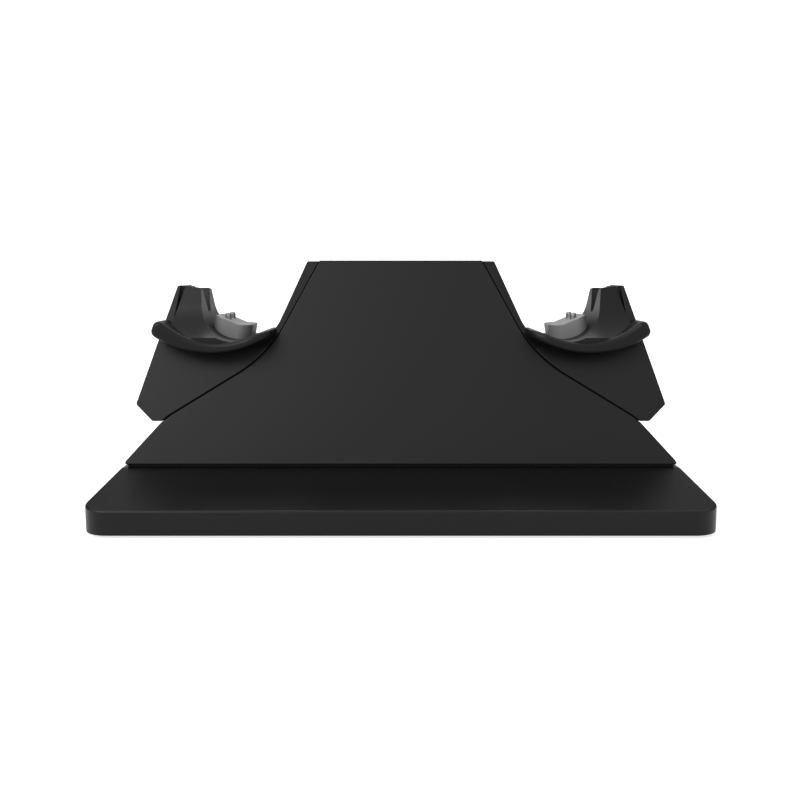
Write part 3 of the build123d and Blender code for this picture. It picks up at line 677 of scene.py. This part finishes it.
class DOCK_OT_feet(bpy.types.Operator):
    """Model the rubber feet with rounded rims and ring grooves"""

    bl_idname = "dock.feet"
    bl_label = "Model feet"

    def execute(self, context):
        sizes = context.scene.dock_sizes
        rubber = moulding(
            "foot rubber", context.scene.dock_colours.rubber, (0.6, 0.75), sizes.grain, 0.5, specular=0.3)
        places = corners(FEET, sizes.foot / 2, FEET[0].z)
        piece = repeat(self.foot(sizes), places, "foot_set")
        dress(piece, rubber)
        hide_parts("rubber_feet")
        return {"FINISHED"}

    def foot(self, sizes):
        """One foot on the origin."""
        height = FEET[1].z - FEET[0].z
        outer = sizes.foot / 2 - sizes.foot_rim
        inner = outer - sizes.foot_groove
        foot = start(
            bpy.ops.mesh.primitive_cylinder_add, vertices=64, radius=sizes.foot / 2, depth=height,
            location=(0.0, 0.0, height / 2))
        pick_faces(foot, lambda face: face.normal.z < -FACING)
        bpy.ops.mesh.inset(thickness=sizes.foot_rim)
        bpy.ops.mesh.inset(thickness=sizes.foot_groove)
        pick_faces(foot, lambda face: face.normal.z < -FACING and inner < self.reach(face) < outer)
        lift(sizes.foot_groove_depth)
        pick_edges(foot, lambda end: end.z < TOUCH and end.xy.length > sizes.foot / 2 - TOUCH)
        bpy.ops.mesh.bevel(offset=sizes.foot_round, segments=4, affect="EDGES")
        return close_piece(foot)

    def reach(self, face):
        """Distance of a face's middle from the foot's axis."""
        return face.calc_center_median().xy.length


class DOCK_OT_inlet(bpy.types.Operator):
    """Finish the power inlet and model the plated fingers on its tongue"""

    bl_idname = "dock.inlet"
    bl_label = "Finish inlet"

    def execute(self, context):
        colours = context.scene.dock_colours
        sizes = context.scene.dock_sizes
        paint(metal("inlet steel", colours.steel, (0.2, 0.3)), "power_inlet")
        paint(moulding("tongue black", colours.rubber, (0.4, 0.5), sizes.grain, 0.1), "inlet_tongue")
        low, high = TONGUE
        middle = (low + high) / 2
        row = high.y - sizes.finger_inset - sizes.finger_length / 2
        first = middle.x - (sizes.finger_count - 1) / 2 * sizes.finger_pitch
        places = [
            (first + step * sizes.finger_pitch, row, level)
            for step in range(sizes.finger_count)
            for level in (low.z, high.z)
        ]
        piece = repeat(self.finger(sizes), places, "inlet_fingers")
        dress(piece, metal("finger gold", colours.gold, (0.16, 0.28)))
        return {"FINISHED"}

    def finger(self, sizes):
        """One finger with rounded long edges, half sunk at the origin."""
        finger = start(bpy.ops.mesh.primitive_cube_add, size=1.0)
        bpy.ops.transform.resize(value=(sizes.finger_width, sizes.finger_length, 2 * sizes.finger_height))
        bpy.ops.mesh.bevel(offset=sizes.finger_height / 2, segments=2, affect="EDGES")
        return close_piece(finger)


class DOCK_OT_stage(bpy.types.Operator):
    """Set the floor, the light and the camera"""

    bl_idname = "dock.stage"
    bl_label = "Set stage"
    key_place = (-0.95, -0.95, 1.15)
    key_size = 1.0
    back_place = (0.0, 1.05, 1.05)
    back_size = 0.7
    lamp_aim = (0.0, 0.0, 0.04)
    floor_width = 12.0
    floor_drop = 0.05 * MM
    white_paper = 0.8
    # Colour of the same paper above the wall's foot, darkened as painted shade where less light would reach
    # it
    painted_shade_paper = 0.12
    # Shares of the wall's height over which its pale foot turns into the painted shade above, and its
    # painted glow in reflections fades out
    foot_fade = (0.1, 0.35)
    # How brightly the wall's foot is mirrored on the left and on the right: a painted light from the left in
    # the wall's glow
    side_light = (1.35, 0.65)
    # Share of the wall's radius, either way, over which that light changes
    side_reach = 0.4
    # Shares of the wall's radius over which that light fades towards its far ends
    end_fade = (0.45, 0.85)

    def execute(self, context):
        studio = context.scene.dock_studio
        self.floor(studio)
        self.backdrop(studio)
        self.sky(context.scene, studio.sky)
        self.lamp("key", self.key_place, self.key_size, studio.key)
        self.lamp("back", self.back_place, self.back_size, studio.back)
        self.camera(context.scene, studio)
        context.scene.view_settings.view_transform = "Standard"
        return {"FINISHED"}

    def rays(self, tree):
        """Rays from the eye, and reflected or refracted ones, as two masks."""
        path = tree.nodes.new("ShaderNodeLightPath").outputs
        return path["Is Camera Ray"], calculated(
            tree, "MAXIMUM", path["Is Glossy Ray"], path["Is Transmission Ray"])

    def paper(self, name, glow):
        """Plain paper, lifted to white for the eye and less in reflections, so that shadows stay."""
        material = bpy.data.materials.new(name)
        material.use_nodes = True
        tree = material.node_tree
        shader = tree.nodes["Principled BSDF"]
        shader.inputs["Base Color"].default_value = (*[self.white_paper] * 3, 1.0)
        shader.inputs["Roughness"].default_value = 0.9
        shader.inputs["Specular IOR Level"].default_value = 0.0
        shader.inputs["Emission Color"].default_value = (1.0, 1.0, 1.0, 1.0)
        direct, mirrored = self.rays(tree)
        return material, shader, calculated(tree, "MULTIPLY", direct, glow), mirrored

    def floor(self, studio):
        """Wide floor under the dock."""
        bpy.ops.object.select_all(action="DESELECT")
        bpy.ops.mesh.primitive_plane_add(size=self.floor_width, location=(0.0, 0.0, -self.floor_drop))
        floor = bpy.context.object
        floor.name = "floor"
        material, shader, glow, mirrored = self.paper("studio floor", studio.floor_glow)
        tree = material.node_tree
        light = calculated(tree, "ADD", glow, calculated(tree, "MULTIPLY", mirrored, studio.floor_sheen))
        tree.links.new(light, shader.inputs["Emission Strength"])
        floor.data.materials.append(material)

    def backdrop(self, studio):
        """Half round wall behind the dock, white to the eye; its colour is darkened above the foot as
        painted shade, and its glow in reflections is a painted pool of light at the foot, brighter on the
        left.
        """
        wall = start(
            bpy.ops.mesh.primitive_cylinder_add, vertices=64, radius=studio.wall_radius,
            depth=2 * studio.wall_height, end_fill_type="NOTHING")
        pick_faces(wall, lambda face: face.calc_center_median().y < 0.0)
        bpy.ops.mesh.delete(type="FACE")
        bpy.ops.object.mode_set(mode="OBJECT")
        wall.name = "backdrop"
        material, shader, glow, mirrored = self.paper("studio backdrop", studio.wall_glow)
        tree = material.node_tree
        split = tree.nodes.new("ShaderNodeSeparateXYZ")
        tree.links.new(tree.nodes.new("ShaderNodeTexCoord").outputs["Object"], split.inputs["Vector"])
        fade = [share * studio.wall_height for share in self.foot_fade]
        foot = ranged(tree, split.outputs["Z"], 1.0, 0.0, *fade)
        # Paper colour: white at the foot, painted shade above
        tree.links.new(ranged(tree, foot, self.painted_shade_paper, self.white_paper), shader.inputs["Base Color"])
        # Glow seen only in reflections: a painted pool of light at the wall's foot, brighter on the left and
        # fading towards the far ends
        aside = split.outputs["X"]
        reach = self.side_reach * studio.wall_radius
        painted_side_light = ranged(tree, aside, *self.side_light, -reach, reach)
        fade = [share * studio.wall_radius for share in self.end_fade]
        ends = ranged(tree, calculated(tree, "ABSOLUTE", aside, 0.0), 1.0, 0.0, *fade)
        painted_wall_light = calculated(tree, "MULTIPLY", painted_side_light, ends)
        painted_foot_light = calculated(tree, "MULTIPLY", painted_wall_light, ranged(tree, foot, 0.0, studio.wall_sheen))
        sheen = calculated(tree, "MULTIPLY", mirrored, painted_foot_light)
        tree.links.new(calculated(tree, "ADD", glow, sheen), shader.inputs["Emission Strength"])
        wall.data.materials.append(material)

    def sky(self, scene, strength):
        """White surroundings: plain white to the eye and in reflections, softer as light."""
        world = bpy.data.worlds.new("studio")
        scene.world = world
        world.use_nodes = True
        tree = world.node_tree
        back = tree.nodes["Background"]
        back.inputs["Color"].default_value = (1.0, 1.0, 1.0, 1.0)
        seen = calculated(tree, "MAXIMUM", *self.rays(tree))
        tree.links.new(ranged(tree, seen, strength, 1.0), back.inputs["Strength"])

    def lamp(self, name, place, size, power):
        """Square softbox turned to the dock."""
        bpy.ops.object.light_add(type="AREA", location=place)
        lamp = bpy.context.object
        lamp.name = name
        lamp.data.size = size
        lamp.data.energy = power
        aim = Vector(self.lamp_aim) - lamp.location
        lamp.rotation_euler = aim.to_track_quat("-Z", "Y").to_euler()

    def camera(self, scene, studio):
        """Camera in front of the dock, a little above it."""
        place = (-studio.camera_side, -studio.camera_back, studio.camera_height)
        bpy.ops.object.camera_add(location=place, rotation=(math.pi / 2 - studio.camera_pitch, 0.0, 0.0))
        camera = bpy.context.object
        camera.data.sensor_width = 36.0
        camera.data.lens = studio.lens
        scene.camera = camera


class DOCK_PT_panel(bpy.types.Panel):
    """Lists the dock's steps"""

    bl_idname = "DOCK_PT_panel"
    bl_label = "Charging dock"
    bl_space_type = "VIEW_3D"
    bl_region_type = "UI"
    bl_category = "Dock"

    def draw(self, context):
        for step in STEPS:
            self.layout.operator(step.bl_idname)


GROUPS = (
    ("dock_colours", DockColours),
    ("dock_sizes", DockSizes),
    ("dock_studio", DockStudio),
)
STEPS = (
    DOCK_OT_shells, DOCK_OT_lip_ends, DOCK_OT_contacts, DOCK_OT_coils, DOCK_OT_inside, DOCK_OT_screws,
    DOCK_OT_feet, DOCK_OT_inlet, DOCK_OT_stage,
)


def register():
    for name, settings in GROUPS:
        bpy.utils.register_class(settings)
        setattr(bpy.types.Scene, name, bpy.props.PointerProperty(type=settings))
    for step in STEPS:
        bpy.utils.register_class(step)
    bpy.utils.register_class(DOCK_PT_panel)


def unregister():
    bpy.utils.unregister_class(DOCK_PT_panel)
    for step in reversed(STEPS):
        bpy.utils.unregister_class(step)
    for name, settings in reversed(GROUPS):
        delattr(bpy.types.Scene, name)
        bpy.utils.unregister_class(settings)


def main():
    register()
    bpy.ops.dock.shells()
    bpy.ops.dock.lip_ends()
    bpy.ops.dock.contacts()
    bpy.ops.dock.coils()
    bpy.ops.dock.inside()
    bpy.ops.dock.screws()
    bpy.ops.dock.feet()
    bpy.ops.dock.inlet()
    bpy.ops.dock.stage()


if __name__ == "__main__":
    main()
